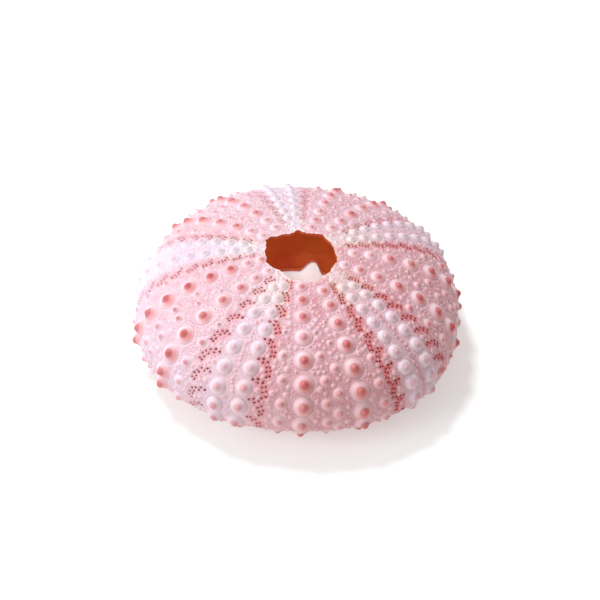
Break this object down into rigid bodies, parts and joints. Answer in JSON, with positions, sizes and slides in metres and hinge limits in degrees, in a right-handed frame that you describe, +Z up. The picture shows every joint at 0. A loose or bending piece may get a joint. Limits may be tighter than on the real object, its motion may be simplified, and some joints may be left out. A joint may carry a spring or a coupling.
{
  "type": "sea urchin shell",
  "caption": "Cleaned round sea urchin shell: a flattened hollow dome with rows of tubercles, open at the crown and at the mouth below.",
  "frame": {"origin": "in the plane the shell rests on, under the middle of its outline", "axes": "+Z up along the shell's axis, from the mouth below to the opening of the crown"},
  "size_m": [0.0712, 0.0696, 0.0239],
  "materials": {
    "shell": "satin limy shell, pink ground with white and coral tubercles"
  },
  "bodies": {
    "root": {"shell": "shell"}
  },
  "joints": []
}
